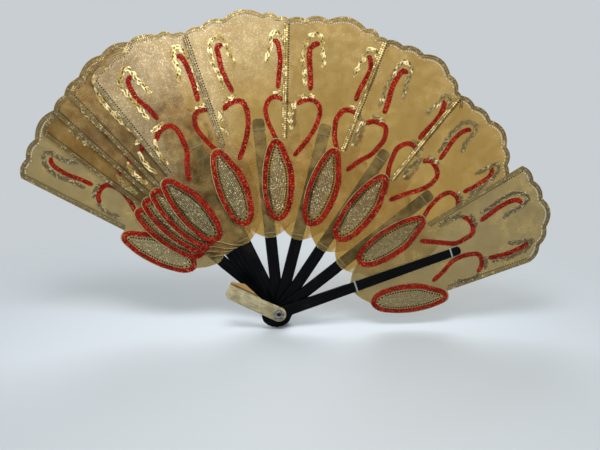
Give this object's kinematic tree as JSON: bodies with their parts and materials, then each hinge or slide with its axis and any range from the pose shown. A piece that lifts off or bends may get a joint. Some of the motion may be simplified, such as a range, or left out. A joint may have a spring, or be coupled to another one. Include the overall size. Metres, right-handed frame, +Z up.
{
  "type": "folding hand fan",
  "caption": "Folding hand fan of separate stiff hide leaves, each tied to its own black stick, all turning on one hollow metal eyelet with a hide thumb tab.",
  "frame": {"origin": "on the pivot axis, in the plane of the rear guard's back face", "axes": "+X across the open fan to the viewer's right, +Y along the pivot axis towards the back, +Z up along the fan's middle leaf"},
  "size_m": [0.4182, 0.0206, 0.2473],
  "materials": {
    "black_horn": "black horn, polished by handling",
    "painted_hide": "stiff translucent amber hide, punched and painted in raised gold and red",
    "thread": "light grey sewing thread",
    "eyelet_metal": "plated eyelet, dulled and tarnished",
    "bare_hide": "thick cream hide, stained brown at the edges"
  },
  "bodies": {
    "front_leaf": {"front_guard": "black_horn", "leaf_10": "painted_hide", "lower_tie_10": "thread", "upper_tie_10": "thread", "pivot_eyelet": "eyelet_metal", "eyelet_washer": "eyelet_metal"},
    "fan_leaf_1": {"rear_guard": "black_horn", "leaf_1": "painted_hide", "lower_tie_1": "thread", "upper_tie_1": "thread"},
    "fan_leaf_2": {"stick_2": "black_horn", "leaf_2": "painted_hide", "lower_tie_2": "thread", "upper_tie_2": "thread"},
    "fan_leaf_3": {"stick_3": "black_horn", "leaf_3": "painted_hide", "lower_tie_3": "thread", "upper_tie_3": "thread"},
    "fan_leaf_4": {"stick_4": "black_horn", "leaf_4": "painted_hide", "lower_tie_4": "thread", "upper_tie_4": "thread"},
    "fan_leaf_5": {"stick_5": "black_horn", "leaf_5": "painted_hide", "lower_tie_5": "thread", "upper_tie_5": "thread"},
    "fan_leaf_6": {"stick_6": "black_horn", "leaf_6": "painted_hide", "lower_tie_6": "thread", "upper_tie_6": "thread"},
    "fan_leaf_7": {"stick_7": "black_horn", "leaf_7": "painted_hide", "lower_tie_7": "thread", "upper_tie_7": "thread"},
    "fan_leaf_8": {"stick_8": "black_horn", "leaf_8": "painted_hide", "lower_tie_8": "thread", "upper_tie_8": "thread"},
    "fan_leaf_9": {"stick_9": "black_horn", "leaf_9": "painted_hide", "lower_tie_9": "thread", "upper_tie_9": "thread"},
    "tab": {"thumb_tab": "bare_hide"}
  },
  "joints": [
    {"name": "leaf_1_swing", "type": "hinge", "parent": "front_leaf", "child": "fan_leaf_1", "pos_m": [0, 0, 0], "axis": [0, -1, 0], "range_deg": [-119.2, 26.5]},
    {"name": "leaf_2_swing", "type": "hinge", "parent": "front_leaf", "child": "fan_leaf_2", "pos_m": [0, 0, 0], "axis": [0, -1, 0], "range_deg": [-109.4, 23.7]},
    {"name": "leaf_3_swing", "type": "hinge", "parent": "front_leaf", "child": "fan_leaf_3", "pos_m": [0, 0, 0], "axis": [0, -1, 0], "range_deg": [-104.9, 15.6]},
    {"name": "leaf_4_swing", "type": "hinge", "parent": "front_leaf", "child": "fan_leaf_4", "pos_m": [0, 0, 0], "axis": [0, -1, 0], "range_deg": [-100.5, 7.4]},
    {"name": "leaf_5_swing", "type": "hinge", "parent": "front_leaf", "child": "fan_leaf_5", "pos_m": [0, 0, 0], "axis": [0, -1, 0], "range_deg": [-95.3, 3]},
    {"name": "leaf_6_swing", "type": "hinge", "parent": "front_leaf", "child": "fan_leaf_6", "pos_m": [0, 0, 0], "axis": [0, -1, 0], "range_deg": [-76, 3]},
    {"name": "leaf_7_swing", "type": "hinge", "parent": "front_leaf", "child": "fan_leaf_7", "pos_m": [0, 0, 0], "axis": [0, -1, 0], "range_deg": [-56.7, 3]},
    {"name": "leaf_8_swing", "type": "hinge", "parent": "front_leaf", "child": "fan_leaf_8", "pos_m": [0, 0, 0], "axis": [0, -1, 0], "range_deg": [-37.8, 3]},
    {"name": "leaf_9_swing", "type": "hinge", "parent": "front_leaf", "child": "fan_leaf_9", "pos_m": [0, 0, 0], "axis": [0, -1, 0], "range_deg": [-19.4, 3]},
    {"name": "tab_swivel", "type": "hinge", "parent": "front_leaf", "child": "tab", "pos_m": [0, 0, 0], "axis": [0, -1, 0], "range_deg": [-132.7, 28]}
  ]
}
